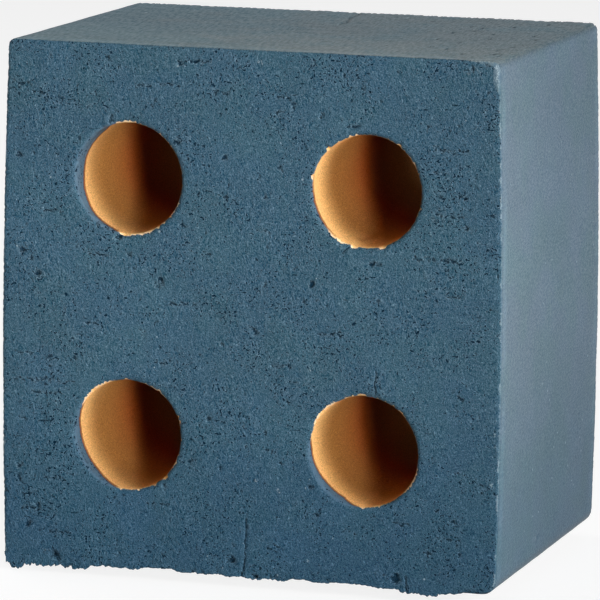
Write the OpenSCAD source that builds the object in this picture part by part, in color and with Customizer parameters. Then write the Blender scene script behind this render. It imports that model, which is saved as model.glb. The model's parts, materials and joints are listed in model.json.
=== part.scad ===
// Cored block of fired clay, glazed on its outer faces.
// The clay is extruded along Y and cut square by a wire, so both cut faces look along Y and
// four round cores run from one to the other. The block stands on one of its extruded sides,
// on the torn burr that the wire leaves hanging where it comes out of each cut face.
// Millimetres, Z up, origin at floor level under the middle of the block.

/* [Block] */
// Overall width along X, over the bowed upright sides
block_w = 140; // [112:1:240]
// Height along Z, from the underside to the top
block_h = 141.5; // [112:0.5:240]
// Length along Y, between the two cut faces
block_l = 100; // [30:1:300]
// How far each upright side bows out, from the top down to where the block is widest
side_bow = 1.8; // [0.2:0.1:4]
// Height above the underside at which the block is widest
belly_h = 55; // [40:1:72]
// Radius of the two long arrises along the top
top_arris_r = 2; // [1:0.5:8]
// Radius of the two long arrises along the underside
bed_arris_r = 4; // [1:0.5:8]
// Radius that the glaze leaves along the edges of the cut faces
cut_edge_r = 0.9; // [0.3:0.1:0.9]

/* [Cores] */
// Diameter of each core
core_d = 29.6; // [12:0.1:42]
// Clay between a core and the upright side beside it
side_shell = 22.1; // [12:0.1:36]
// Clay between a core and the top or the underside
bed_shell = 21.2; // [12:0.1:36]
// How far the set of cores lies off the middle, to the right where it is positive
core_drift = -0.7; // [-3:0.1:3]
// Width of the eased edge at each mouth of a core
mouth_ease = 0.8; // [0.2:0.1:3]

/* [Burr] */
// How far the burr under each cut face hangs below the underside, at its longest
burr_drop = 3.5; // [0.5:0.5:6]
// Thickness of the burr where it leaves the underside
burr_root = 3; // [1.5:0.5:8]
// Thickness of the burr at its tip
burr_tip = 1.2; // [0.4:0.1:1.5]

/* [Hidden] */
$fn = 96;

glaze_colour = [0.27, 0.37, 0.43];
clay_colour = [0.75, 0.45, 0.24];

// Flat steps that make up the bow of a side above or below its widest, an arris and a
// cut-face edge
bow_steps = 4;
arris_steps = 5;
edge_steps = 3;
// How far a cutting shape runs past the face that it cuts
overrun = 1;

// Torn tip of the burr from left to right, as [share of the edge's length, share of the drop]
burr_tear = [
    [0.006, 0.85], [0.014, 0.95], [0.03, 1], [0.045, 0.9], [0.065, 0.75], [0.1, 0.55],
    [0.12, 0.55], [0.135, 0.7], [0.175, 0.6], [0.185, 0.3], [0.23, 0.25], [0.265, 0.35],
    [0.28, 0.3], [0.29, 0.05], [0.35, 0], [0.36, 0.2], [0.42, 0.2], [0.44, 0.1], [0.47, 0.3],
    [0.49, 0.15], [0.515, 0.35], [0.545, 0.2], [0.58, 0.3], [0.59, 0], [0.625, 0],
    [0.635, 0.15], [0.665, 0.2], [0.67, 0], [0.74, 0], [0.77, 0.2], [0.8, 0.1], [0.815, 0.4],
    [0.85, 0.4], [0.87, 0.55], [0.885, 0.5], [0.89, 0.3], [0.92, 0.2], [0.935, 0]
];

core_r = core_d / 2;
// Distance of a core's axis from the middle of the set of cores, across and up
core_x = block_w / 2 - side_shell - core_r;
core_z = block_h / 2 - bed_shell - core_r;

// An upright side is part of a large circle about [bow_x, bow_z], in a section whose middle
// is [0, 0]
bow_z = belly_h - block_h / 2;
bow_r = (pow(block_h - belly_h, 2) + pow(side_bow, 2)) / (2 * side_bow);
bow_x = block_w / 2 - bow_r;
// Heights of the middles of the arrises, and half the width of the underside, out to where
// the bowed sides would meet it
top_arris_z = block_h / 2 - top_arris_r;
bed_arris_z = bed_arris_r - block_h / 2;
underside_x = bow_x + sqrt(pow(bow_r, 2) - pow(belly_h, 2));

// How far an arris of radius r about a height z lies round the large circle from its widest
function turn(r, z) = asin((z - bow_z) / (bow_r - r));

// Middle of that arris, which touches both the flat bed and the bowed side
function arris_middle(r, z) = [bow_x + (bow_r - r) * cos(turn(r, z)), z];

// Points of an arc about a centre, in equal steps from angle a0 up to the last before a1
function arc(centre, r, a0, a1, steps) = [
    for (k = [0 : steps - 1])
        let (a = a0 + (a1 - a0) * k / steps)
        centre + r * [cos(a), sin(a)]
];

// Right half of the section, from the underside up to the top, drawn in by inset all round
function half_section(inset) =
    let (bed_turn = turn(bed_arris_r, bed_arris_z), top_turn = turn(top_arris_r, top_arris_z),
         bed_middle = arris_middle(bed_arris_r, bed_arris_z),
         top_middle = arris_middle(top_arris_r, top_arris_z))
    concat(
        arc(bed_middle, bed_arris_r - inset, -90, bed_turn, arris_steps),
        arc([bow_x, bow_z], bow_r - inset, bed_turn, 0, bow_steps),
        arc([bow_x, bow_z], bow_r - inset, 0, top_turn, bow_steps),
        arc(top_middle, top_arris_r - inset, top_turn, 90, arris_steps),
        [top_middle + [0, top_arris_r - inset]]
    );

// Whole section: the right half, then its mirror image back down to the underside
function section(inset) =
    let (half = half_section(inset))
    concat(half, [for (k = [len(half) - 1 : -1 : 0]) [-half[k].x, half[k].y]]);

// Outer form: prisms along Y, each longer and slimmer than the last, stretched over into one
// body whose cut-face edges are rounded
module blank() {
    hull()
        for (step = [0 : edge_steps])
            let (turn = 90 * step / edge_steps)
            rotate([90, 0, 0])
                linear_extrude(block_l - 2 * cut_edge_r * (1 - sin(turn)), center = true)
                    polygon(section(cut_edge_r * (1 - cos(turn))));
}

// Cutter for one core: a straight bore that opens at 45 degrees at each cut face
module core() {
    mouth_y = block_l / 2 - mouth_ease;
    end_y = block_l / 2 + overrun;
    end_r = core_r + mouth_ease + overrun;
    rotate([90, 0, 0])
        rotate_extrude()
            polygon([[0, -end_y], [end_r, -end_y], [core_r, -mouth_y],
                     [core_r, mouth_y], [end_r, end_y], [0, end_y]]);
}

// Burr under the front cut face: its torn outline, thinned from root to tip
module burr() {
    face_y = -block_l / 2;
    underside_z = -block_h / 2;
    torn = [for (p = burr_tear)
        [underside_x * (2 * p[0] - 1), underside_z - burr_drop * p[1]]];
    first_x = torn[0].x;
    last_x = torn[len(torn) - 1].x;
    intersection() {
        rotate([90, 0, 0])
            linear_extrude(block_l / 2)
                polygon(concat(torn, [[last_x, bed_arris_z], [first_x, bed_arris_z]]));
        rotate([90, 0, 90])
            linear_extrude(2 * underside_x, center = true)
                polygon([[face_y, bed_arris_z], [face_y, underside_z - burr_drop],
                         [face_y + burr_tip, underside_z - burr_drop],
                         [face_y + burr_root, underside_z],
                         [face_y + burr_root, bed_arris_z]]);
    }
}

// The block: glazed outside, bare clay in the cores
module block() {
    translate([0, 0, burr_drop + block_h / 2])
        difference() {
            color(glaze_colour) {
                blank();
                for (face = [0, 1])
                    mirror([0, face, 0]) burr();
            }
            color(clay_colour)
                for (x = [-core_x, core_x], z = [-core_z, core_z])
                    translate([core_drift + x, 0, z]) core();
        }
}

block();
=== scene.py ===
"""Looks of a glazed, cored clay block: wire-cut faces with torn grit, satin sides, bare clay cores.

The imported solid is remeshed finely, worn and roughened in mesh code, and thinned to one closed
piece. Its one material is procedural. Lengths are in metres, with MM for millimetres, and
the material's nodes work in millimetres.
"""

import json
import math

import bpy
import numpy as np
from mathutils import Matrix, Vector

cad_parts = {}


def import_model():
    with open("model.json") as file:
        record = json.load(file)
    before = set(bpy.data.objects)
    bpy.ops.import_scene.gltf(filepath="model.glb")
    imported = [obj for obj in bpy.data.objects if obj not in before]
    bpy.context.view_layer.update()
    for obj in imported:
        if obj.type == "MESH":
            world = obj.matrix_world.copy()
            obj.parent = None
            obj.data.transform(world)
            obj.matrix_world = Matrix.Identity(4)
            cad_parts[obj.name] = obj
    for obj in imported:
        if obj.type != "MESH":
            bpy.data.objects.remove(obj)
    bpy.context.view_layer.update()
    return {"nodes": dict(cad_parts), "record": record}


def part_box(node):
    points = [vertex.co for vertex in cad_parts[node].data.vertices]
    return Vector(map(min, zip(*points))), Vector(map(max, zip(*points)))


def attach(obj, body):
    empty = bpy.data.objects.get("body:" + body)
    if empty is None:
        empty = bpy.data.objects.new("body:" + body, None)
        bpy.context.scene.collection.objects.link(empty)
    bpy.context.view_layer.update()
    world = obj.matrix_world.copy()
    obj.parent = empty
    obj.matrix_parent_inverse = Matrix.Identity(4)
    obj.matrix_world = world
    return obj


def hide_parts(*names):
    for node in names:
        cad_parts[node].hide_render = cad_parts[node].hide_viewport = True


MM = 0.001

# Mesh
VOXEL = 0.35 * MM  # spacing of the dense mesh that is worn
MAP_STEP = 0.2 * MM  # spacing of the relief maps
MAP_MARGIN = 3 * MM  # the maps of the flat faces run this far past them
MAX_TRIANGLES = 192_000
RIM_REACH = 1.1 * MM  # how far the crumbling of a core's mouth reaches
GRAIN_LEAN = 0.3  # the grain of the cut faces leans to the left by this much for each unit up
EDGE_WEAR = {  # depth of the bites and how far they reach, in mm, at the front and at the back
    "left": ((0.34, 1.3), (0.3, 1.3)),
    "right": ((0.14, 1.3), (0.3, 1.3)),
    "top": ((0.1, 1.3), (0.6, 2.6)),
    "bottom": ((0.3, 1.3), (0.3, 1.3)),
}
BURR_BITE = {-1: 1.0, 1: 0.5}  # how hard the burr is notched, at the front (-1) and at the back (1)

# Left end of the arris under the front cut face, which is filled out beyond the end of the burr
CORNER_START = 60 * MM  # distance from the middle plane at which the filling begins
BURR_END = 68.2 * MM  # how far out the burr is taken to reach there
BURR_COVER = 1.2 * MM  # height above the underside up to which it reaches further than the arris
CORNER_DRAWN_IN = 0.5 * MM  # how far the foot of the filled arris stays in from the side
CORNER_FADE = (2 * MM, 4 * MM)  # depths behind the cut face over which the filling fades out

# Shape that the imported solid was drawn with
SIDE_BOW = 1.8 * MM
BELLY = 55 * MM  # height above the underside at which the block is widest
TOP_ARRIS_R = 2 * MM
BED_ARRIS_R = 4 * MM
MOUTH_EASE = 0.8 * MM

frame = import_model()
low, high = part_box("block")
half_length = high.y
mounts = {m["name"]: m for m in frame["record"]["mounts"]}
cores = {name: m for name, m in mounts.items() if m["kind"] == "bore"}
core_centres = np.array([[m["pos_m"][0], m["pos_m"][2]] for m in cores.values()])
core_radius = next(iter(cores.values()))["dims"]["r_mm"] * MM
core_middle = core_centres.mean(0)
underside = mounts["underside"]["pos_m"][2]
EDGE_LINE = 160 * MM  # length of the random lines that wear follows, longer than any edge
middle_z = (underside + high.z) / 2
half_height = high.z - middle_z
widest_z = underside + BELLY

# Marks on the front cut face, read from the photo. Places are in millimetres across from
# the middle and up from the floor, and are good to about half a millimetre. Angles run
# anticlockwise from the right
TEARS = [  # (x, z, length) of the broken lines where the cutting wire dragged grit along
    (-16.5, 141, 6), (-10, 133, 4.5), (-25, 134.5, 5), (-32, 134, 4), (-65, 133, 3.5), (-61, 131, 5),
    (-58, 99, 5.5), (-45, 88, 5), (-13, 90, 3), (-22, 76, 7), (7.5, 133, 5), (27, 126, 4),
    (51, 121, 9), (51, 115, 2), (56, 108.5, 4), (50.5, 103.5, 3), (55.5, 103.5, 4), (45.5, 92, 9),
    (54, 92, 5), (55, 82.5, 4), (65.5, 79.5, 2.5), (2.5, 97, 4), (-46, 69.5, 3), (-66, 60, 5),
    (-26, 60, 4), (-66, 53, 10), (-56, 53, 7), (-61, 49.5, 9), (-65, 42, 3), (-57, 26, 6),
    (-28, 21.5, 8), (-64, 17.5, 6), (-56, 11.5, 5), (20, 70.5, 6), (7, 61, 5), (57.5, 35.5, 2),
    (41, 21, 4), (53, 17.5, 6), (27, 18, 3), (40, 11.5, 1.5), (6, 12, 4),
]  # fmt: skip
CRACKS = [  # (x, z) of the upper and the lower end of each crack, or of one stretch of it
    ((0.1, 20.5), (-0.5, 13)),
    ((-0.5, 13), (-0.4, 8)),
    ((-0.4, 8), (-1.3, 2)),
    ((35.5, 61.5), (35.5, 54.5)),
    ((28.5, 95), (26, 92.5)),
    ((44.5, 7), (45, 3)),
]
CHIPS = [  # (x, z, radius, depth) where grit was torn out
    (-55, 5, 1.7, 1.1), (-62.5, 13.5, 1.1, 0.9), (-59.5, 18.5, 0.9, 0.5), (-23.5, 26.5, 0.8, 0.4),
    (-4, 7.5, 1.2, 0.8), (42, 6, 1.6, 0.7), (2.5, 4, 1.0, 0.6), (20, 21.5, 0.6, 0.5),
    (53, 25, 0.7, 0.4), (57.5, 22.5, 0.8, 0.4), (50.5, 13.5, 0.8, 0.4), (60.5, 142.6, 0.6, 0.4),
    (64.5, 144, 0.7, 0.3), (12, 131, 0.7, 0.4), (8, 128.5, 0.9, 0.4), (59.5, 101, 0.8, 0.4),
    (34, 90, 0.9, 0.35), (4.5, 82.5, 0.6, 0.4), (-25, 82, 1.4, 0.4), (-36, 93.5, 1.2, 0.6),
    (-38.5, 124.5, 1.0, 0.4), (-64, 88, 1.0, 0.35), (-59.5, 82, 1.1, 0.4), (-65, 114, 0.9, 0.3),
    (-18.5, 97.5, 0.8, 0.35), (-20.5, 119.5, 1.0, 0.3), (-40, 141, 0.8, 0.3), (-11, 45.5, 0.9, 0.4),
    (-49, 59.5, 0.6, 0.4), (-16, 33.5, 0.9, 0.3), (-65, 29, 0.8, 0.4), (-65, 25.5, 0.8, 0.4),
    (-7.5, 66, 0.7, 0.35), (11, 51.5, 0.7, 0.35), (5, 43, 0.6, 0.3), (2, 70, 1.0, 0.3),
    (59.5, 132.5, 0.5, 0.3), (49, 127, 0.5, 0.3), (15.5, 78.5, 0.6, 0.35), (8.5, 114, 0.7, 0.3),
]  # fmt: skip
RIM_BITES = {  # (angle in degrees, width in degrees, depth) broken out of each mouth in front
    "core_upper_left": [(267, 14, 0.7), (288, 34, 0.25), (325, 50, 0.14), (97, 26, 0.25)],
    "core_upper_right": [
        (168, 6, 0.5), (205, 40, 0.2), (238, 30, 0.4), (258, 8, 0.5), (288, 10, 0.4), (48, 64, 0.12),
    ],
    "core_lower_left": [(130, 50, 0.35), (190, 60, 0.25), (315, 7, 0.7), (55, 40, 0.14), (20, 14, 0.2)],
    "core_lower_right": [(140, 44, 0.4), (100, 30, 0.15), (232, 20, 0.2), (332, 40, 0.3), (48, 10, 0.3)],
}
GLAZE_EDGE = {  # (angle in degrees, depth in mm) that the glaze reaches on each wall in front
    "core_upper_left": [
        (102, 0), (128, 8.5), (150, 6.5), (180, 6), (206, 4.5), (226, 3), (248, 2.5), (262, 0),
    ],
    "core_upper_right": [(150, 0), (172, 0.8), (205, 1.5), (230, 0.8), (250, 0)],
    "core_lower_left": [(140, 0), (158, 1.5), (180, 4), (205, 5), (228, 4.5), (248, 2), (264, 0)],
    "core_lower_right": [(165, 0), (182, 2), (205, 3), (225, 4), (244, 4), (258, 1.5), (270, 0)],
}
FLECKS = [  # (x, z, radius) of pale grit
    (14.5, 44.5, 0.3), (16, 43, 0.25), (15.5, 41, 0.25), (14, 39.5, 0.2), (17, 38, 0.2),
    (15.5, 35.5, 0.3), (16.5, 33.5, 0.25), (15, 32, 0.3), (17.5, 30.8, 0.45), (16.5, 28.5, 0.35),
    (18.5, 28.8, 0.2), (14.5, 28, 0.25), (9.3, 28, 0.3), (2.3, 29.7, 0.3), (35, 136.7, 0.35),
    (15, 134, 0.35), (17.7, 60.5, 0.3), (17, 9, 0.6), (-57.5, 6, 0.6), (-38.5, 92.5, 0.6),
    (67.3, 143.2, 1.1), (67.8, 141.8, 1.1), (67.6, 140.2, 1.0), (68.2, 138.8, 0.8), (62, 142.5, 0.8),
    (60.8, 141.6, 0.5), (63.5, 141.2, 0.5), (59.5, 141.8, 0.6), (68.6, 135, 0.3), (68.4, 132, 0.3),
    (68.7, 128.5, 0.4), (68.5, 50, 0.5), (68.3, 47, 0.6), (68.6, 43.5, 0.5), (67.9, 41, 0.5),
    (68.4, 37, 0.6), (67.6, 33.5, 0.4), (-9, 142, 0.7), (-1, 142.3, 0.5), (3, 142, 0.7),
    (25, 142.5, 0.4), (-31, 142.5, 0.4),
]  # fmt: skip

# The back is hidden in the photo. Its marks are strewn at random, and its two cracks are made up
BACK_CRACKS = [((-22, 143), (-24, 128)), ((48, 12), (47, 2))]

# On the top, in millimetres across from the middle and back from it
TOP_CRACK = ((3, 18), (-1, 50))  # its two ends, as the photo shows it
TOP_DENTS = ((36, 66), (-40, 30))  # the ranges over which small dents are strewn at random


def smooth(start, end, value):
    """0 before start, 1 after end, and an even ramp between them."""
    t = np.clip((value - start) / (end - start), 0, 1)
    return t * t * (3 - 2 * t)


def noise_map(shape, shortest, longest, rng, stretch=(1, 1), lean=0.0):
    """A smooth random map with waves between two lengths, of mean 0 and spread 1."""
    rows = np.fft.fftfreq(shape[0], MAP_STEP)[:, None]
    columns = np.fft.fftfreq(shape[1], MAP_STEP)[None, :]
    wave = np.hypot((rows + lean * columns) * stretch[0], (columns - lean * rows) * stretch[1])
    band = (wave > 1 / longest) * np.exp(-((wave * shortest) ** 2))
    field = np.fft.ifft2(np.fft.fft2(rng.standard_normal(shape)) * band).real
    return field / field.std()


def noise_line(length, shortest, longest, rng):
    """The same along a line."""
    return noise_map((1, int(length / MAP_STEP)), shortest, longest, rng)[0]


def read_line(values, start, places):
    """Values along a line that begins at start, read at places."""
    a = np.clip((places - start) / MAP_STEP, 0, len(values) - 1.001)
    i = a.astype(int)
    return values[i] * (1 - (a - i)) + values[i + 1] * (a - i)


class Relief:
    """Depth, painted shade of its dents and pale grit of one face, on a grid over its two axes."""

    def __init__(self, start, size, seed, margin=MAP_MARGIN):
        self.start = np.array(start) - margin
        self.shape = tuple(int(math.ceil((side + 2 * margin) / MAP_STEP)) for side in size)
        self.depth = np.zeros(self.shape)
        self.dark = np.zeros(self.shape)
        self.pale = np.zeros(self.shape)
        self.rng = np.random.default_rng(seed)

    def grain(self, amount, shortest, longest, stretch=(1, 1), lean=0.0):
        self.depth += amount * noise_map(self.shape, shortest, longest, self.rng, stretch, lean)

    def dent(self, at, radii, depth, dark=1.0, ragged=0.25):
        """Presses one dent with a ragged outline."""
        reach = np.array(radii) * (1 + ragged) + MAP_STEP
        first = np.maximum(((at - reach - self.start) / MAP_STEP).astype(int), 0)
        last = np.minimum(((at + reach - self.start) / MAP_STEP).astype(int) + 2, self.shape)
        if (last <= first).any():
            return
        across = (np.arange(first[0], last[0]) * MAP_STEP + self.start[0] - at[0]) / radii[0]
        up = (np.arange(first[1], last[1]) * MAP_STEP + self.start[1] - at[1]) / radii[1]
        far = np.hypot(across[:, None], up[None, :])
        far = far * (1 + ragged * self.rng.uniform(-1, 1, far.shape))
        bowl = np.clip(1 - far**2, 0, 1)
        window = (slice(first[0], last[0]), slice(first[1], last[1]))
        self.depth[window] += depth * bowl
        self.dark[window] = np.maximum(self.dark[window], dark * np.sqrt(bowl))

    def pits(self, count, radius, depth):
        """Scatters pits, each of one to three dents that run into each other."""
        size = np.array(self.shape) * MAP_STEP
        for _ in range(count):
            at = self.start + self.rng.random(2) * size
            r = radius * self.rng.lognormal(0, 0.35)
            for _ in range(self.rng.integers(1, 4)):
                spot = at + self.rng.normal(0, 0.7, 2) * r
                sides = r * self.rng.uniform(0.5, 1, 2)
                self.dent(spot, sides, depth * self.rng.uniform(0.6, 1.3), self.rng.uniform(0.5, 1))

    def tear(self, x, z, span):
        """A broken line of flat pits along the first axis."""
        done = 0.0
        while done < span:
            half = self.rng.uniform(0.25, 0.8) * MM
            at = np.array([x + done, z + self.rng.normal(0, 0.25) * MM])
            thin = self.rng.uniform(0.24, 0.4) * MM
            self.dent(at, (half, thin), self.rng.uniform(0.2, 0.45) * MM, self.rng.uniform(0.7, 1.0))
            done += half * self.rng.uniform(1.0, 2.6)

    def crack(self, top, bottom):
        """A hairline that wanders a little from one end to the other."""
        steps = int(np.linalg.norm(top - bottom) / (0.25 * MM))
        wander = np.cumsum(self.rng.normal(0, 0.1, steps + 1)) * MM
        wander -= np.linspace(wander[0], wander[-1], steps + 1)
        for k in range(steps + 1):
            at = top + (bottom - top) * k / steps + np.array([wander[k], 0])
            self.dent(at, (0.2 * MM, 0.3 * MM), 0.3 * MM, 0.85, 0.1)

    def chip(self, x, z, radius, depth):
        """A cluster of dents where grit was torn out."""
        for _ in range(8):
            at = np.array([x, z]) + self.rng.normal(0, 0.45 * radius, 2)
            size = radius * self.rng.uniform(0.3, 0.7)
            dark = self.rng.uniform(0.4, 0.95)
            self.dent(at, (size, size * 0.8), depth * self.rng.uniform(0.3, 0.7), dark, 0.4)

    def fleck(self, x, z, radius):
        """Grit that stands out pale, with a ragged outline."""
        dark = self.dark
        self.dark = self.pale
        self.dent(np.array([x, z]), (radius, radius), 0.0, 1.0 if radius < 0.5 * MM else 0.5, 0.4)
        self.dark = dark

    def settle(self):
        """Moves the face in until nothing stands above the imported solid."""
        self.depth = np.maximum(self.depth - np.percentile(self.depth, 0.5), 0)

    def read(self, field, u, v):
        """Values of one of the grids at points, evened out between grid points."""
        a = np.clip((u - self.start[0]) / MAP_STEP, 0, self.shape[0] - 1.001)
        b = np.clip((v - self.start[1]) / MAP_STEP, 0, self.shape[1] - 1.001)
        i, j = a.astype(int), b.astype(int)
        s, t = a - i, b - j
        near = field[i, j] * (1 - t) + field[i, j + 1] * t
        far = field[i + 1, j] * (1 - t) + field[i + 1, j + 1] * t
        return near * (1 - s) + far * s


def cut_face(seed, tears, cracks, chips, flecks):
    """Relief of a wire-cut face."""
    relief = Relief((low.x, low.z), (high.x - low.x, high.z - low.z), seed)
    relief.grain(0.06 * MM, 10 * MM, 45 * MM)
    relief.grain(0.03 * MM, 2.5 * MM, 8 * MM)
    relief.grain(0.02 * MM, 0.9 * MM, 2.2 * MM, stretch=(1, 1.3), lean=GRAIN_LEAN)
    relief.settle()
    relief.pits(260, 0.3 * MM, 0.3 * MM)
    relief.pits(50, 0.5 * MM, 0.4 * MM)
    for x, z, radius, depth in chips:
        relief.chip(x * MM, z * MM, radius * MM, depth * MM)
    for x, z, span in tears:
        relief.tear(x * MM, z * MM, span * MM)
    for top, bottom in cracks:
        relief.crack(np.array(top) * MM, np.array(bottom) * MM)
    for x, z, radius in flecks:
        relief.fleck(x * MM, z * MM, radius * MM)
    return relief


def scattered(seed, count, *ranges):
    """Rows of random values, each column within its range."""
    rng = np.random.default_rng(seed)
    return [[rng.uniform(*each) for each in ranges] for _ in range(count)]


def die_face(seed, start, size, along):
    """Relief of a face that the die smoothed: slow waves, faint drag lines and pin holes."""
    relief = Relief(start, size, seed)
    relief.grain(0.03 * MM, 15 * MM, 60 * MM)
    relief.grain(0.01 * MM, 1.5 * MM, 12 * MM, stretch=(12, 1) if along == 0 else (1, 12))
    relief.settle()
    relief.pits(14, 0.2 * MM, 0.2 * MM)
    return relief


def core_wall(seed):
    """Relief of a core's wall over its girth and its length: waves, drag lines and torn sand."""
    girth = 2 * math.pi * core_radius
    relief = Relief((0, -half_length), (girth, 2 * half_length), seed, margin=0)
    relief.grain(0.05 * MM, 12 * MM, 50 * MM)
    relief.grain(0.025 * MM, 1.2 * MM, 9 * MM, stretch=(1, 8))
    relief.settle()
    relief.pits(60, 0.4 * MM, 0.25 * MM)
    return relief


front = cut_face(11, TEARS, CRACKS, CHIPS, FLECKS)
back = cut_face(
    12,
    scattered(21, 20, (-62, 50), (8, 138), (4, 12)),
    BACK_CRACKS,
    scattered(22, 9, (-64, 64), (4, 140), (0.8, 1.6), (0.3, 0.7)),
    scattered(23, 24, (-68, 68), (4, 143), (0.2, 0.5)),
)
long_size = (2 * half_length, high.z - low.z)
flat_size = (high.x - low.x, 2 * half_length)
sides = {
    "right": die_face(13, (low.y, low.z), long_size, along=0),
    "left": die_face(14, (low.y, low.z), long_size, along=0),
    "top": die_face(15, (low.x, low.y), flat_size, along=1),
    "bottom": die_face(16, (low.x, low.y), flat_size, along=1),
}
sides["top"].crack(*np.array(TOP_CRACK) * MM)
for x, y, radius in scattered(24, 16, *TOP_DENTS, (0.3, 0.55)):
    sides["top"].dent(np.array((x, y)) * MM, (radius * MM, 3.5 * radius * MM), 0.5 * MM)
walls = [core_wall(30 + k) for k in range(len(cores))]


def half_width(z):
    """Distance from the middle plane to the bowed upright sides at a height."""
    bow_radius = ((high.z - widest_z) ** 2 + SIDE_BOW**2) / (2 * SIDE_BOW)
    rise = np.clip(z, underside, high.z) - widest_z
    return high.x - bow_radius + np.sqrt(bow_radius**2 - rise**2)


def inset(p):
    """How far points lie inside the outline of the block's section."""
    arris = np.where(p[:, 2] > middle_z, TOP_ARRIS_R, BED_ARRIS_R)
    x_over = np.abs(p[:, 0]) - half_width(p[:, 2]) + arris
    z_over = np.abs(p[:, 2] - middle_z) - half_height + arris
    corner = np.hypot(np.maximum(x_over, 0), np.maximum(z_over, 0))
    return arris - corner - np.minimum(np.maximum(x_over, z_over), 0)


def nearest_core(p):
    """Each point's nearest core, the way out from its axis, its distance and its angle."""
    offset = p[:, None, [0, 2]] - core_centres[None]
    far = np.hypot(offset[..., 0], offset[..., 1])
    core = far.argmin(1)
    rows = np.arange(len(p))
    out = offset[rows, core] / far[rows, core, None]
    return core, out, far[rows, core], np.arctan2(out[:, 1], out[:, 0]) % (2 * math.pi)


def depth_in(p):
    """How far points lie behind the nearer cut face."""
    return half_length - np.abs(p[:, 1])


def true_cores(p):
    """Moves the cores' walls from the frame's flat facets onto true cylinders and cones."""
    core, out, far, _ = nearest_core(p)
    target = core_radius + np.clip(MOUTH_EASE - depth_in(p), 0, MOUTH_EASE)
    wall = far < core_radius + MOUTH_EASE
    moved = core_centres[core] + out * target[:, None]
    p[np.ix_(wall, [0, 2])] = moved[wall]


def crumble_rims(p):
    """Breaks the mouths of the cores. Returns how broken each point is, from 0 to 1."""
    core, out, far, angle = nearest_core(p)
    depth = depth_in(p)
    girth = 2 * math.pi * core_radius
    broken = np.zeros(len(p))
    for k, name in enumerate(cores):
        for end in (-1, 1):
            rng = np.random.default_rng(100 + 2 * k + end)
            bite = 0.06 * MM * np.maximum(noise_line(girth, 0.8 * MM, 5 * MM, rng), 0)
            bite += 0.25 * MM * np.maximum(noise_line(girth, 2.0 * MM, 12 * MM, rng) - 1, 0)
            turn = np.linspace(0, 360, len(bite), endpoint=False)
            for middle, spread, size in RIM_BITES[name] if end < 0 else ():
                apart = (turn - middle + 180) % 360 - 180
                rough = rng.uniform(0.4, 1.2, len(bite))
                bite += size * MM * np.clip(1 - (2 * apart / spread) ** 2, 0, 1) * rough
            rows = (core == k) & (p[:, 1] * end > 0) & (depth < 3 * RIM_REACH)
            rows &= far < core_radius + MOUTH_EASE + 3 * RIM_REACH
            amount = read_line(bite, 0, angle[rows] * core_radius)
            from_rim = np.hypot(far[rows] - core_radius - MOUTH_EASE / 2, depth[rows] - MOUTH_EASE / 2)
            amount *= 1 - smooth(0.3 * RIM_REACH, RIM_REACH + amount, from_rim)
            p[np.ix_(rows, [0, 2])] += out[rows] * amount[:, None] * 0.7
            p[rows, 1] -= end * amount * 0.7
            broken[rows] = np.clip(amount / (0.3 * MM), 0, 1)
    return broken


def glaze_reach(p):
    """How far past the mouth the glaze reaches on the wall that each point is nearest to, in mm."""
    core, _, _, angle = nearest_core(p)
    reach = np.zeros(len(p))
    for k, name in enumerate(cores):
        turns, depths = zip(*GLAZE_EDGE[name])
        rows = (core == k) & (p[:, 1] < 0)
        reach[rows] = np.interp(np.degrees(angle[rows]), turns, depths, left=0, right=0)
    return reach


def wear_edges(p):
    """Breaks small bites out of the edges of the cut faces. Returns how worn each point is."""
    worn = np.zeros(len(p))
    depth = depth_in(p)
    inside = inset(p)
    x_over = np.abs(p[:, 0]) - half_width(p[:, 2])
    z_over = np.abs(p[:, 2] - middle_z) - half_height
    upright = x_over > z_over
    edges = {  # rows of points, the axis that points inward and its sense
        "left": (upright & (p[:, 0] < 0), 0, 1),
        "right": (upright & (p[:, 0] > 0), 0, -1),
        "top": (~upright & (p[:, 2] > middle_z), 2, -1),
        "bottom": (~upright & (p[:, 2] < middle_z), 2, 1),
    }
    for end in (-1, 1):
        for k, (name, (rows, inward, sense)) in enumerate(edges.items()):
            rng = np.random.default_rng(200 + 10 * k + end)
            bite = np.maximum(noise_line(EDGE_LINE, 0.8 * MM, 4 * MM, rng), 0)
            bite += 1.6 * np.maximum(noise_line(EDGE_LINE, 1.5 * MM, 10 * MM, rng) - 1.2, 0)
            bite *= 0.3 + smooth(-0.5, 1.5, noise_line(EDGE_LINE, 5 * MM, 30 * MM, rng))
            most, span = (v * MM for v in EDGE_WEAR[name][0 if end < 0 else 1])
            rows = rows & (p[:, 1] * end > 0) & (depth < span) & (inside < span)
            along = 2 - inward
            amount = most * read_line(bite, low[along], p[rows, along])
            amount *= 1 - smooth(0, span, depth[rows])
            amount *= 1 - smooth(0, span, inside[rows])
            p[rows, inward] += sense * amount
            p[rows, 1] -= end * 0.6 * amount
            worn[rows] = np.clip(amount / (0.4 * MM), 0, 1)
    return worn


def fill_corner(p):
    """Fills the left end of the arris under the front cut face, so that it runs on into the burr."""
    height = p[:, 2] - underside
    turn = np.clip(1 - height / BED_ARRIS_R, 0, 1)
    side = half_width(p[:, 2])
    outline = side - BED_ARRIS_R * (1 - np.sqrt(1 - turn**2))
    outline = np.maximum(outline, np.where(height < BURR_COVER, BURR_END, 0))
    rows = (p[:, 0] < -CORNER_START) & (p[:, 1] < 0) & (height < BED_ARRIS_R)
    wanted = side - CORNER_DRAWN_IN * turn**4
    before, after = outline - CORNER_START, wanted - CORNER_START
    stretched = -CORNER_START + (p[:, 0] + CORNER_START) * after / before
    share = 1 - smooth(*CORNER_FADE, depth_in(p))
    p[rows, 0] += ((stretched - p[:, 0]) * share)[rows]


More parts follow.
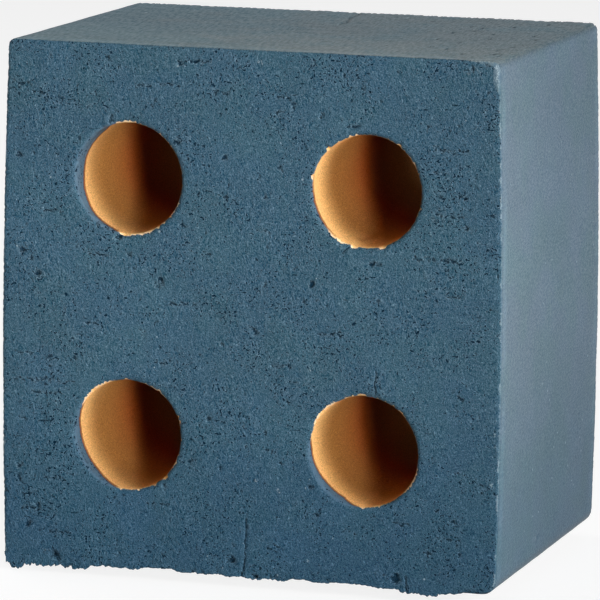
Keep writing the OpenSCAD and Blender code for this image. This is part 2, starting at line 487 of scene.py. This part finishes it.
def tear_burr(p):
    """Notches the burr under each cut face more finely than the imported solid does."""
    drop = np.clip((underside - p[:, 2]) / underside, 0, 1)
    for end in (-1, 1):
        rng = np.random.default_rng(300 + end)
        notch = 0.16 * np.abs(noise_line(EDGE_LINE, 0.8 * MM, 3 * MM, rng))
        notch += 0.3 * smooth(0.4, 0.7, noise_line(EDGE_LINE, 1.5 * MM, 12 * MM, rng))
        notch *= BURR_BITE[end]
        rows = (p[:, 1] * end > 0) & (drop > 0)
        share = np.clip(read_line(notch, low.x, p[rows, 0]), 0, 0.6)
        p[rows, 2] += drop[rows] * underside * share


def press_relief(p, n):
    """Sinks each point along its normal by the relief of the face that it is on."""
    core, _, far, angle = nearest_core(p)
    in_core = far < core_radius + MOUTH_EASE
    to_front, to_back = smooth(0.5, 0.9, -n[:, 1]), smooth(0.5, 0.9, n[:, 1])
    depth = to_front * front.read(front.depth, p[:, 0], p[:, 2])
    depth += to_back * back.read(back.depth, p[:, 0], p[:, 2])
    rest = 1 - to_front - to_back
    for k, wall in enumerate(walls):
        rows = in_core & (core == k)
        depth[rows] += rest[rows] * wall.read(wall.depth, angle[rows] * core_radius, p[rows, 1])
    across = n[:, 0] ** 2 / (n[:, 0] ** 2 + n[:, 2] ** 2 + 1e-9)
    for name, relief in sides.items():
        upright = name in ("left", "right")
        sign = n[:, 0] if upright else n[:, 2]
        rows = ~in_core & ((sign > 0) if name in ("right", "top") else (sign <= 0))
        share = rest[rows] * (across[rows] if upright else 1 - across[rows])
        u, v = (p[rows, 1], p[rows, 2]) if upright else (p[rows, 0], p[rows, 1])
        depth[rows] += share * relief.read(relief.depth, u, v)
    p -= n * depth[:, None]


def coordinates(mesh):
    out = np.empty(len(mesh.vertices) * 3, np.float32)
    mesh.vertices.foreach_get("co", out)
    return out.reshape(-1, 3).astype(float)


def vertex_normals(mesh):
    out = np.empty(len(mesh.vertices) * 3, np.float32)
    mesh.vertex_normals.foreach_get("vector", out)
    return out.reshape(-1, 3).astype(float)


def modified(mesh, kind, **settings):
    """The mesh after one modifier."""
    work = bpy.data.objects.new("work", mesh)
    bpy.context.scene.collection.objects.link(work)
    modifier = work.modifiers.new("work", kind)
    for name, value in settings.items():
        setattr(modifier, name, value)
    graph = bpy.context.evaluated_depsgraph_get()
    made = bpy.data.meshes.new_from_object(work.evaluated_get(graph))
    bpy.data.objects.remove(work)
    return made


def add_attribute(mesh, name, values):
    attribute = mesh.attributes.new(name, "FLOAT", "POINT")
    attribute.data.foreach_set("value", values.astype(np.float32))


def worn_block():
    """The one closed mesh of the block."""
    dense = modified(frame["nodes"]["block"].data.copy(), "REMESH", mode="VOXEL", voxel_size=VOXEL)
    p, n = coordinates(dense), vertex_normals(dense)
    true_cores(p)
    crumble_rims(p)
    wear_edges(p)
    tear_burr(p)
    fill_corner(p)
    press_relief(p, n)
    np.clip(p, np.array(low), np.array(high), out=p)
    dense.vertices.foreach_set("co", p.astype(np.float32).ravel())
    dense.update()
    mesh = dense
    if 2 * len(dense.polygons) > MAX_TRIANGLES:
        ratio = MAX_TRIANGLES / (2 * len(dense.polygons))
        mesh = modified(dense, "DECIMATE", ratio=ratio, use_collapse_triangulate=True)
    mesh = modified(mesh, "TRIANGULATE")
    inside_box = np.clip(coordinates(mesh), np.array(low), np.array(high))
    mesh.vertices.foreach_set("co", inside_box.astype(np.float32).ravel())
    mesh.materials.clear()
    mesh.shade_smooth()
    return mesh


def add_marks(mesh):
    """Carries on the mesh what the material has to know of marks, wear and edges."""
    p, n = coordinates(mesh), vertex_normals(mesh)
    dark = smooth(0.3, 0.8, -n[:, 1]) * front.read(front.dark, p[:, 0], p[:, 2])
    dark += smooth(0.3, 0.8, n[:, 1]) * back.read(back.dark, p[:, 0], p[:, 2])
    top = sides["top"]
    dark += smooth(0.3, 0.8, n[:, 2]) * top.read(top.dark, p[:, 0], p[:, 1])
    core, _, far, _ = nearest_core(p)
    dark[far < core_radius + MOUTH_EASE / 2] = 0
    add_attribute(mesh, "cavity", np.clip(dark, 0, 1))
    pale = smooth(0.3, 0.8, -n[:, 1]) * front.read(front.pale, p[:, 0], p[:, 2])
    pale += smooth(0.3, 0.8, n[:, 1]) * back.read(back.pale, p[:, 0], p[:, 2])
    add_attribute(mesh, "pale", np.clip(pale, 0, 1))
    add_attribute(mesh, "broken", crumble_rims(p.copy()))
    add_attribute(mesh, "worn", wear_edges(p.copy()))
    add_attribute(mesh, "reach", glaze_reach(p))
    on_burr = (p[:, 2] < underside + 1.5 * MM) & (np.abs(n[:, 1]) > 0.4)
    add_attribute(mesh, "inset", np.where(on_burr, 3, np.clip(inset(p) / MM, 0, 5)))


def add_uv(mesh):
    """Lays the faces out as flat charts, in true size, for textures baked from the material."""
    gap = 3 * MM
    wide, tall, deep = high.x - low.x, high.z - low.z, 2 * half_length
    girth = 2 * math.pi * core_radius
    sheet = 4 * girth + 5 * gap
    row_2, row_3 = tall + 2 * gap, 2 * tall + 3 * gap
    origins = {
        "front": (gap, gap),
        "back": (wide + 2 * gap, gap),
        "left": (2 * wide + 3 * gap, gap),
        "right": (gap, row_2),
        "top": (deep + 2 * gap, row_2),
        "bottom": (deep + wide + 3 * gap, row_2),
    }
    p = coordinates(mesh)
    corners = np.empty(len(mesh.loops), np.int32)
    mesh.loops.foreach_get("vertex_index", corners)
    triangles = p[corners].reshape(-1, 3, 3)
    middle = triangles.mean(1)
    normal = np.cross(triangles[:, 1] - triangles[:, 0], triangles[:, 2] - triangles[:, 0])
    normal /= np.linalg.norm(normal, axis=1, keepdims=True) + 1e-20
    core, _, far, angle = nearest_core(middle)
    to_y, to_x = np.abs(normal[:, 1]) > 0.6, np.abs(normal[:, 0]) > np.abs(normal[:, 2])
    in_core = (far < core_radius + MOUTH_EASE) & ~to_y
    faces = {
        "front": to_y & (normal[:, 1] < 0) & (middle[:, 1] < 0),
        "back": to_y & (normal[:, 1] > 0) & (middle[:, 1] > 0),
        "right": to_x & ~to_y & ~in_core & (middle[:, 0] > high.x - 6 * MM),
        "left": to_x & ~to_y & ~in_core & (middle[:, 0] < low.x + 6 * MM),
        "top": ~to_x & ~to_y & ~in_core & (normal[:, 2] > 0),
    }
    faces["bottom"] = ~in_core & ~np.any(list(faces.values()), axis=0)
    x, y, z = np.moveaxis(triangles, 2, 0)
    flat = {
        "front": (x - low.x, z - low.z),
        "back": (high.x - x, z - low.z),
        "right": (y - low.y, z - low.z),
        "left": (high.y - y, z - low.z),
        "top": (x - low.x, y - low.y),
        "bottom": (x - low.x, high.y - y),
    }
    uv = np.zeros((len(triangles), 3, 2))
    for name, rows in faces.items():
        u, v = flat[name]
        uv[rows] = np.stack([u[rows], v[rows]], 2) + np.array(origins[name])
    for k in range(len(cores)):
        rows = in_core & (core == k)
        offset = triangles[rows][..., [0, 2]] - core_centres[k]
        turn = np.arctan2(offset[..., 1], offset[..., 0]) - angle[rows, None]
        turn = (turn + math.pi) % (2 * math.pi) - math.pi + angle[rows, None]
        start = np.array((gap + k * (girth + gap), row_3))
        uv[rows] = np.stack([turn * core_radius, y[rows] - low.y], 2) + start
    layer = mesh.uv_layers.new(name="OFBake")
    layer.data.foreach_set("uv", (uv / sheet).astype(np.float32).ravel())


class Nodes:
    """Short names for the nodes of a material or the world."""

    def __init__(self, owner):
        owner.use_nodes = True
        self.tree = owner.node_tree
        self.tree.nodes.clear()

    def add(self, kind, **settings):
        node = self.tree.nodes.new("ShaderNode" + kind)
        for name, value in settings.items():
            setattr(node, name, value)
        return node

    def feed(self, socket, value):
        if isinstance(value, bpy.types.NodeSocket):
            self.tree.links.new(value, socket)
        else:
            socket.default_value = value

    def math(self, operation, *values):
        node = self.add("Math", operation=operation)
        for socket, value in zip(node.inputs, values):
            self.feed(socket, value)
        return node.outputs[0]

    def vector(self, operation, *values):
        node = self.add("VectorMath", operation=operation)
        for socket, value in zip(node.inputs, values):
            self.feed(socket, value)
        return node.outputs[0]

    def plus(self, *values):
        total = values[0]
        for value in values[1:]:
            total = self.math("ADD", total, value)
        return total

    def times(self, *values):
        total = values[0]
        for value in values[1:]:
            total = self.math("MULTIPLY", total, value)
        return total

    def step(self, value, start, end, low=0.0, high=1.0):
        """Goes from low to high, evenly rounded, as value goes from start to end."""
        node = self.add("MapRange", interpolation_type="SMOOTHSTEP")
        for socket, given in zip(node.inputs, (value, start, end, low, high)):
            self.feed(socket, given)
        return node.outputs[0]

    def mix(self, share, first, second):
        """Between two numbers."""
        node = self.add("Mix", data_type="FLOAT")
        for socket, value in zip((node.inputs[0], node.inputs[2], node.inputs[3]), (share, first, second)):
            self.feed(socket, value)
        return node.outputs[0]

    def tint(self, share, first, second):
        """Between two colours."""
        node = self.add("Mix", data_type="RGBA")
        for socket, value in zip((node.inputs[0], node.inputs[6], node.inputs[7]), (share, first, second)):
            self.feed(socket, value)
        return node.outputs[2]

    def spread(self, value):
        """A number as all three parts of a vector."""
        node = self.add("CombineXYZ")
        for socket in node.inputs:
            self.feed(socket, value)
        return node.outputs[0]

    def attribute(self, name):
        return self.add("Attribute", attribute_name=name).outputs["Fac"]

    def noise(self, place, size, detail=2.0, rough=0.5):
        """Noise of mean 0.5 with lumps of a size."""
        node = self.add("TexNoise")
        self.feed(node.inputs["Vector"], place)
        node.inputs["Scale"].default_value = 1 / size
        node.inputs["Detail"].default_value = detail
        node.inputs["Roughness"].default_value = rough
        return node.outputs["Fac"]

    def pits(self, place, size, widest):
        """1 in the middle of each scattered pit, 0 outside. A pit reaches at most widest cells."""
        node = self.add("TexVoronoi")
        self.feed(node.inputs["Vector"], place)
        node.inputs["Scale"].default_value = 1 / size
        chance = self.add("SeparateColor")
        self.feed(chance.inputs[0], node.outputs["Color"])
        reach = self.times(chance.outputs[0], chance.outputs[0], widest)
        return self.step(self.math("DIVIDE", node.outputs["Distance"], reach), 1.0, 0.45)


GLAZE_CUT = (0.038, 0.090, 0.135, 1)
GLAZE_CUT_GREENER = (0.039, 0.093, 0.131, 1)
GLAZE_DIE = (0.078, 0.128, 0.180, 1)
GLAZE_DIE_GREENER = (0.068, 0.126, 0.164, 1)
GLAZE_BED = (0.103, 0.180, 0.222, 1)  # top and underside
GLAZE_BED_BROWNER = (0.134, 0.188, 0.216, 1)
GLAZE_THIN = (0.088, 0.145, 0.20, 1)  # where it ran into a mouth

# Three ramps of painted shade and light in the glaze. Painted shade darkens it towards the foot, once
# on all faces and once more off the cut faces, and painted light makes it paler towards the front
# off the cut faces. They follow the photo, where a falloff of light looks the same as a change of
# glaze, and they stay under any other light
FOOT_PAINTED_SHADE = (0.72, 0.83, 0.91, 1)
SIDE_FOOT_PAINTED_SHADE = (0.74, 0.87, 0.87, 1)
NEAR_PAINTED_LIGHT = (1.38, 1.27, 1.19, 1)

PIT_SHADE = (0.0, 0.014, 0.032, 1)
WORN_SHADE = (0.020, 0.032, 0.038, 1)
GRIT = (0.30, 0.38, 0.42, 1)
CLAY_TORN_AND_PAINTED_HIGHLIGHT = (0.95, 0.70, 0.44, 1)  # where the rims are broken, torn clay painted very pale, partly as painted highlight
CLAY_PALE_AND_PAINTED_LIGHT = (0.88, 0.51, 0.19, 1)  # at the mouths of the cores, as painted light, and for pale specks of sand
CLAY = (0.51, 0.235, 0.060, 1)
CLAY_DEEP_PAINTED_SHADE = (0.42, 0.08, 0.009, 1)  # half way through, as painted shade
CLAY_DARK_ALONG_GLAZE = (0.17, 0.028, 0.010, 1)  # along the glaze


def glazed_clay():
    """Blue glaze, rough on the cut faces and satin on the sides, that stops inside the cores."""
    material = bpy.data.materials.new("glazed_clay")
    n = Nodes(material)
    place = n.vector("MULTIPLY", n.add("TexCoord").outputs["Object"], (1 / MM, 1 / MM, 1 / MM))
    split = n.add("SeparateXYZ")
    n.feed(split.inputs[0], place)
    x, y, z = split.outputs
    depth = n.math("SUBTRACT", half_length / MM, n.math("ABSOLUTE", y))

    # Where the cut faces end, along a frayed line
    fray = n.math("SUBTRACT", n.noise(place, 0.6, 3.0, 0.6), 0.5)
    corner_skin = n.times(n.step(z, 135, 140), n.step(x, 58, 66), -1.7)
    over_top = n.step(z, 142.5, 144, 0.0, 0.6)
    inside_edge = n.plus(n.attribute("inset"), n.times(fray, 1.6), corner_skin, over_top)
    inward = n.math("SUBTRACT", inside_edge, depth)
    cut = n.step(inward, -0.15, 0.15)
    on_upright = n.step(n.math("ABSOLUTE", x), 64, 67)
    crumbly = n.times(n.step(n.noise(place, 3.0, 3.0, 0.7), 0.5, 0.56), on_upright, n.step(z, 136, 130))
    crumbs = n.times(n.step(n.math("ABSOLUTE", inward), 0.4, 0.2), crumbly)

    # Where the glaze stops in the cores
    middle_x, middle_up = (float(v) for v in core_middle / MM)
    core_x, core_z = (float(v) for v in (core_centres.max(0) - core_middle) / MM)
    u = n.math("SUBTRACT", n.math("ABSOLUTE", n.math("SUBTRACT", x, middle_x)), core_x)
    w = n.math("SUBTRACT", n.math("ABSOLUTE", n.math("SUBTRACT", z, middle_up)), core_z)
    far = n.math("SQRT", n.plus(n.times(u, u), n.times(w, w)))
    radius = core_radius / MM
    broken = n.attribute("broken")
    reach = n.attribute("reach")
    edge = n.plus(radius + 0.08, n.times(fray, 0.7), n.times(broken, 0.75))
    at_rim = n.step(n.math("SUBTRACT", far, edge), 0.08, -0.08)
    inside = n.times(n.step(far, radius + 0.75, radius + 0.6), n.step(depth, 0.7, 1.3))
    on_wall = n.math("MAXIMUM", at_rim, inside)
    past_line = n.math("SUBTRACT", depth, n.plus(reach, n.times(fray, n.step(reach, 0.3, 2))))
    bare = n.times(on_wall, n.step(past_line, -0.2, 0.2))
    thin = n.times(n.step(far, radius + 0.9, radius + 0.3), n.step(reach, 0.2, 1.5))

    # Relief too fine for the mesh, in millimetres
    strokes = n.add("CombineXYZ")
    n.feed(strokes.inputs[0], n.plus(x, n.times(z, GRAIN_LEAN)))
    n.feed(strokes.inputs[1], y)
    n.feed(strokes.inputs[2], n.times(n.math("SUBTRACT", z, n.times(x, GRAIN_LEAN)), 0.6))
    grain = n.math("SUBTRACT", n.noise(strokes.outputs[0], 0.7, 1.0, 0.6), 0.5)
    fine = n.math("SUBTRACT", n.noise(strokes.outputs[0], 0.25, 1.0, 0.6), 0.5)
    margin = n.step(n.attribute("inset"), 4.5, 1.0, 0.0, 0.15)
    crowded = n.plus(n.step(n.noise(place, 12, 2.0), 0.3, 0.7), margin)
    torn = n.plus(n.noise(place, 0.7, 1.0, 0.6), n.times(crowded, 0.11))
    small_pits = n.step(torn, 0.70, 0.73)
    pit_rims = n.times(n.step(torn, 0.64, 0.68), n.step(small_pits, 0.4, 0.0))
    warp = n.add("TexNoise")
    n.feed(warp.inputs["Vector"], place)
    warp.inputs["Scale"].default_value = 1.4
    warped = n.vector("ADD", place, n.vector("MULTIPLY", warp.outputs["Color"], (0.9, 0.9, 0.9)))
    pin_holes = n.times(n.pits(warped, 1.5, 0.32), n.step(crowded, 0.1, 0.7))
    beside = n.step(n.math("ABSOLUTE", x), 35, 65)
    dashed = n.noise(n.vector("MULTIPLY", place, (0.22, 1, 1.5)), 1.2, 2.0, 0.6)
    dashes = n.step(n.plus(dashed, n.times(beside, 0.04)), 0.74, 0.79)
    cavity = n.attribute("cavity")
    rough_edge = n.times(n.math("SUBTRACT", n.noise(place, 0.4, 2.0), 0.5), 1.8)
    marked = n.step(n.plus(cavity, rough_edge), 0.3, 0.55)
    chip_edge = n.step(n.plus(cavity, rough_edge), 0.05, 0.25)
    chip_rims = n.times(chip_edge, n.step(marked, 0.4, 0.0), n.step(cavity, 0, 0.1))
    flecked = n.step(n.plus(n.attribute("pale"), rough_edge), 0.35, 0.6)
    holes = n.math("MAXIMUM", n.math("MAXIMUM", small_pits, pin_holes), dashes)
    sunk = n.plus(n.times(holes, -0.4), n.times(marked, -0.25), n.times(cavity, -0.35))
    sunk = n.plus(sunk, n.times(flecked, 0.15))
    cut_height = n.plus(n.times(grain, 0.3), n.times(fine, 0.3), sunk)
    glints = n.pits(strokes.outputs[0], 1.0, 0.36)
    satin = n.math("SUBTRACT", n.noise(n.vector("MULTIPLY", place, (1, 0.45, 1)), 0.5, 2.0, 0.65), 0.5)
    bed_grain = n.math("SUBTRACT", n.noise(n.vector("MULTIPLY", place, (1, 0.14, 1)), 0.5, 2.0, 0.6), 0.5)
    drawn_out = n.vector("MULTIPLY", warped, (1, 0.28, 1))
    bed_pits = n.times(n.pits(drawn_out, 3.6, 0.18), n.step(x, 5, 40), n.step(z, 141, 144))
    die_pits = n.math("MAXIMUM", n.pits(warped, 4.5, 0.10), bed_pits)
    die_height = n.plus(n.times(satin, 0.25), n.times(die_pits, -0.15))
    drawn = n.vector("MULTIPLY", place, (1, 0.06, 1))
    sand = n.times(n.math("SUBTRACT", n.noise(place, 0.4, 3.0, 0.6), 0.5), 0.35)
    core_lines = n.times(n.math("SUBTRACT", n.noise(drawn, 0.9, 3.0), 0.5), 0.08)
    clay_height = n.math("ADD", sand, core_lines)
    height = n.mix(bare, n.mix(cut, die_height, cut_height), clay_height)
    bump = n.add("Bump")
    bump.inputs["Strength"].default_value = 1.0
    bump.inputs["Distance"].default_value = MM
    n.feed(bump.inputs["Height"], height)

    # Glaze on the cut faces
    normal = n.add("SeparateXYZ")
    n.feed(normal.inputs[0], n.add("NewGeometry").outputs["Normal"])
    upward = n.plus(n.math("ABSOLUTE", normal.outputs[2]), n.times(satin, 1.0))
    upward = n.plus(upward, n.step(z, 128, 143, 0.0, 0.25))
    bed = n.step(upward, 0.6, 1.0)
    clouds = n.step(n.noise(place, 28, 3.0), 0.35, 0.65)
    tinge = n.step(n.noise(place, 11, 2.0), 0.35, 0.65)
    cut_colour = n.tint(tinge, GLAZE_CUT, GLAZE_CUT_GREENER)
    cut_colour = n.vector("MULTIPLY", cut_colour, n.spread(n.plus(0.96, n.times(clouds, 0.08))))
    # Painted highlights: glints on the strokes and pale rims round pits and chips. They are added to the
    # colour with the grain, which is partly the glaze's own tone and partly painted highlight and shade of
    # its relief
    light = n.plus(n.times(glints, 0.25), n.times(pit_rims, 0.25), n.times(chip_rims, 0.25))
    salt = n.spread(n.plus(fine, n.times(grain, 0.25), light))
    cut_colour = n.vector("ADD", cut_colour, n.vector("MULTIPLY", salt, (0.19, 0.25, 0.29)))
    cut_colour = n.vector("MAXIMUM", cut_colour, PIT_SHADE[:3])

    # Glaze on the sides, the top and the underside
    mottle = n.step(n.plus(n.noise(place, 16, 2.0), n.times(satin, 0.6)), 0.35, 0.65)
    # Painted highlight: a paler band a few millimetres in from each cut face, for the light the rounded edges
    # catch
    band = n.times(n.step(depth, 0.8, 2.2), n.step(depth, 6.5, 3.0), n.step(n.noise(place, 9, 2.0), 0.3, 0.6))
    die_colour = n.tint(mottle, GLAZE_DIE, GLAZE_DIE_GREENER)
    browner = n.step(n.plus(n.noise(place, 16, 2.0), satin, n.step(x, -60, 20, -0.25, 0.1)), 0.35, 0.65)
    die_colour = n.tint(bed, die_colour, n.tint(browner, GLAZE_BED, GLAZE_BED_BROWNER))
    die_tone_and_painted_highlight = n.plus(0.93, n.times(clouds, 0.08), n.times(band, 0.24))
    die_colour = n.vector("MULTIPLY", die_colour, n.spread(die_tone_and_painted_highlight))
    # Painted light: paler towards the front off the cut faces
    die_colour = n.vector("MULTIPLY", die_colour, n.tint(n.step(y, 10, -48), (1, 1, 1, 1), NEAR_PAINTED_LIGHT))
    die_salt = n.mix(bed, n.times(satin, 0.21), n.times(bed_grain, 0.42))
    die_colour = n.vector("ADD", die_colour, n.spread(die_salt))
    # Painted shade: darker towards the foot off the cut faces
    die_foot_painted_shade = n.tint(n.step(z, 80, 5), (1, 1, 1, 1), SIDE_FOOT_PAINTED_SHADE)
    die_colour = n.vector("MULTIPLY", die_colour, die_foot_painted_shade)
    # Painted shade on the arrises: darker where the faces turn, mottled by the satin noise
    slope = n.times(n.math("ABSOLUTE", n.times(normal.outputs[0], normal.outputs[2])), 2.0)
    arris_painted_shade = n.plus(1.0, n.times(slope, n.plus(-0.36, n.times(satin, 0.4))))
    die_colour = n.vector("MULTIPLY", die_colour, n.spread(arris_painted_shade))

    # Both together, with what darkens and speckles them
    glaze = n.tint(cut, die_colour, cut_colour)
    glaze = n.tint(n.times(thin, 0.85), glaze, GLAZE_THIN)
    # Painted light: lighter by up to 5 percent from 135 mm down to 95 mm
    glaze = n.vector("MULTIPLY", glaze, n.spread(n.step(z, 135, 95, 1.0, 1.05)))
    # Painted shade: darker towards the foot on all faces
    glaze = n.vector("MULTIPLY", glaze, n.tint(n.step(z, 66, 8), (1, 1, 1, 1), FOOT_PAINTED_SHADE))
    # Painted shade in the hollows: pits, dashes, dents, chips, tears and cracks darkened
    hollow = n.mix(cut, n.times(die_pits, 0.9), n.times(holes, 0.95))
    hollow = n.math("MAXIMUM", hollow, n.times(marked, n.step(cavity, 0.3, 0.9, 0.45, 0.9)))
    glaze = n.tint(hollow, glaze, PIT_SHADE)
    # Painted shade along the worn edges at the back
    worn = n.times(n.attribute("worn"), n.step(y, -10, 10), n.step(fray, -0.1, 0.1))
    glaze = n.tint(worn, glaze, WORN_SHADE)
    lip = n.times(inside, n.step(n.math("ABSOLUTE", n.plus(past_line, 0.2)), 0.35, 0.1), 0.7)
    glaze = n.tint(lip, glaze, PIT_SHADE)
    glaze = n.tint(n.times(crumbs, 0.45), glaze, GRIT)
    bed_grit = n.times(n.pits(n.vector("MULTIPLY", place, (1, 0.3, 1)), 5.5, 0.11), n.step(z, 141, 144))
    specks = n.math("MAXIMUM", n.times(n.pits(place, 5.0, 0.09), 0.7), n.times(flecked, 0.6))
    specks = n.math("MAXIMUM", specks, bed_grit)
    glaze = n.tint(specks, glaze, GRIT)

    # Bare clay
    # Painted light at the mouths and painted shade deeper in the cores
    clay = n.tint(n.step(depth, 0, 22), CLAY_PALE_AND_PAINTED_LIGHT, CLAY)
    clay = n.tint(n.step(depth, 18, 55), clay, CLAY_DEEP_PAINTED_SHADE)
    # Darker along the glaze's edge in the cores
    clay = n.tint(n.times(n.step(past_line, 1.5, 0.6), n.step(reach, 0.2, 1.2), 0.85), clay, CLAY_DARK_ALONG_GLAZE)
    clay_grain = n.math("SUBTRACT", n.noise(place, 0.4, 2.0, 0.6), 0.5)
    clay = n.vector("MULTIPLY", clay, n.spread(n.plus(1.03, n.times(clay_grain, 1.6))))
    clay = n.tint(n.times(n.pits(place, 2.4, 0.08), 0.6), clay, CLAY_PALE_AND_PAINTED_LIGHT)
    # Torn clay at the broken rims, painted very pale, partly as painted highlight
    clay = n.tint(n.times(n.step(far, radius + 0.05, radius + 0.3), n.step(depth, 1.2, 0.8)), clay, CLAY_TORN_AND_PAINTED_HIGHLIGHT)

    colour = n.tint(bare, glaze, clay)
    rough = n.mix(bare, n.mix(cut, n.mix(bed, 0.42, 0.55), 0.58), 0.95)
    rough = n.math("MAXIMUM", rough, n.times(hollow, 0.9))

    shader = n.add("BsdfPrincipled")
    shader.inputs["Specular IOR Level"].default_value = 0.09
    n.feed(shader.inputs["Base Color"], colour)
    n.feed(shader.inputs["Roughness"], rough)
    n.feed(shader.inputs["Normal"], bump.outputs[0])
    n.feed(n.add("OutputMaterial").inputs["Surface"], shader.outputs[0])
    return material


def seen_directly(n):
    """1 for what the camera, a reflection or a refraction sees, 0 for light on the object."""
    path = n.add("LightPath").outputs
    seen = n.math("MAXIMUM", path["Is Camera Ray"], path["Is Glossy Ray"])
    return n.math("MAXIMUM", seen, path["Is Transmission Ray"])


FLOOR_SIZE = 8.0
FLOOR_COLOUR = (0.25, 0.25, 0.25, 1)
FLOOR_LIFT = 0.84  # brightens the floor as it is seen, so that it is near white
WORLD_LIGHT = 0.10


def floor():
    """A plain pale floor that keeps the object's shadow."""
    made = bpy.data.meshes.new("floor")
    half = FLOOR_SIZE / 2
    corners = [(-half, -half, 0), (half, -half, 0), (half, half, 0), (-half, half, 0)]
    made.from_pydata(corners, [], [(0, 1, 2, 3)])
    material = bpy.data.materials.new("floor")
    n = Nodes(material)
    diffuse = n.add("BsdfDiffuse")
    diffuse.inputs["Color"].default_value = FLOOR_COLOUR
    glow = n.add("Emission")
    n.feed(glow.inputs["Strength"], n.times(seen_directly(n), FLOOR_LIFT))
    both = n.add("AddShader")
    n.feed(both.inputs[0], diffuse.outputs[0])
    n.feed(both.inputs[1], glow.outputs[0])
    n.feed(n.add("OutputMaterial").inputs["Surface"], both.outputs[0])
    made.materials.append(material)
    piece = bpy.data.objects.new("floor", made)
    bpy.context.scene.collection.objects.link(piece)


def world():
    """Dim even light, with a white background where it is seen."""
    made = bpy.data.worlds.new("studio")
    n = Nodes(made)
    background = n.add("Background")
    n.feed(background.inputs["Strength"], n.mix(seen_directly(n), WORLD_LIGHT, 1.0))
    n.feed(n.add("OutputWorld").inputs["Surface"], background.outputs[0])
    bpy.context.scene.world = made


def toward(azimuth, elevation):
    """Unit vector from the block, by degrees right of straight in front and degrees up."""
    a, e = math.radians(azimuth), math.radians(elevation)
    return Vector((math.sin(a) * math.cos(e), -math.cos(a) * math.cos(e), math.sin(e)))


def aim(thing, place, target, roll=0.0):
    thing.location = place
    turn = (target - place).to_track_quat("-Z", "Y")
    thing.rotation_mode = "QUATERNION"
    thing.rotation_quaternion = (turn.to_matrix() @ Matrix.Rotation(roll, 3, "Z")).to_quaternion()


LIGHTS = {  # azimuth, elevation, distance, width, height, power, spread in degrees, aim in mm
    "key": (31.5, 4.5, 1.6, 0.22, 0.4, 0.80, 27.5, (-96, -50, 130)),
    "side": (68, 18, 0.9, 0.35, 0.35, 0.80, 60, (70, -50, 160)),
    "back": (245, 45, 1.2, 0.8, 0.8, 3.65, 180, (0, 0, 75)),
}


def lights():
    middle = Vector((0, 0, middle_z))
    for name, (azimuth, elevation, distance, wide, tall, power, spread, target) in LIGHTS.items():
        lamp = bpy.data.lights.new(name, "AREA")
        lamp.shape = "RECTANGLE"
        lamp.size, lamp.size_y = wide, tall
        lamp.energy = power
        lamp.spread = math.radians(spread)
        thing = bpy.data.objects.new(name, lamp)
        bpy.context.scene.collection.objects.link(thing)
        aim(thing, middle + toward(azimuth, elevation) * distance, Vector(target) * MM)


# The photo's view, fitted to the block's outline and mouths. Angles in degrees, distance in metres
VIEW_AZIMUTH, VIEW_ELEVATION, VIEW_DISTANCE, VIEW_ROLL = 18.02, 9.515, 1.299, 0.581
VIEW_TARGET = Vector((14.54, -50, 79.26)) * MM
LENS = 295.45


def camera():
    made = bpy.data.cameras.new("camera")
    made.lens = LENS
    made.sensor_width = 36
    thing = bpy.data.objects.new("camera", made)
    bpy.context.scene.collection.objects.link(thing)
    place = VIEW_TARGET + toward(VIEW_AZIMUTH, VIEW_ELEVATION) * VIEW_DISTANCE
    aim(thing, place, VIEW_TARGET, math.radians(VIEW_ROLL))
    bpy.context.scene.camera = thing


mesh = worn_block()
add_marks(mesh)
add_uv(mesh)
mesh.materials.append(glazed_clay())
block = bpy.data.objects.new("glazed_block", mesh)
bpy.context.scene.collection.objects.link(block)
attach(block, "root")
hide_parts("block")
floor()
world()
lights()
camera()
bpy.context.scene.view_settings.view_transform = "Standard"
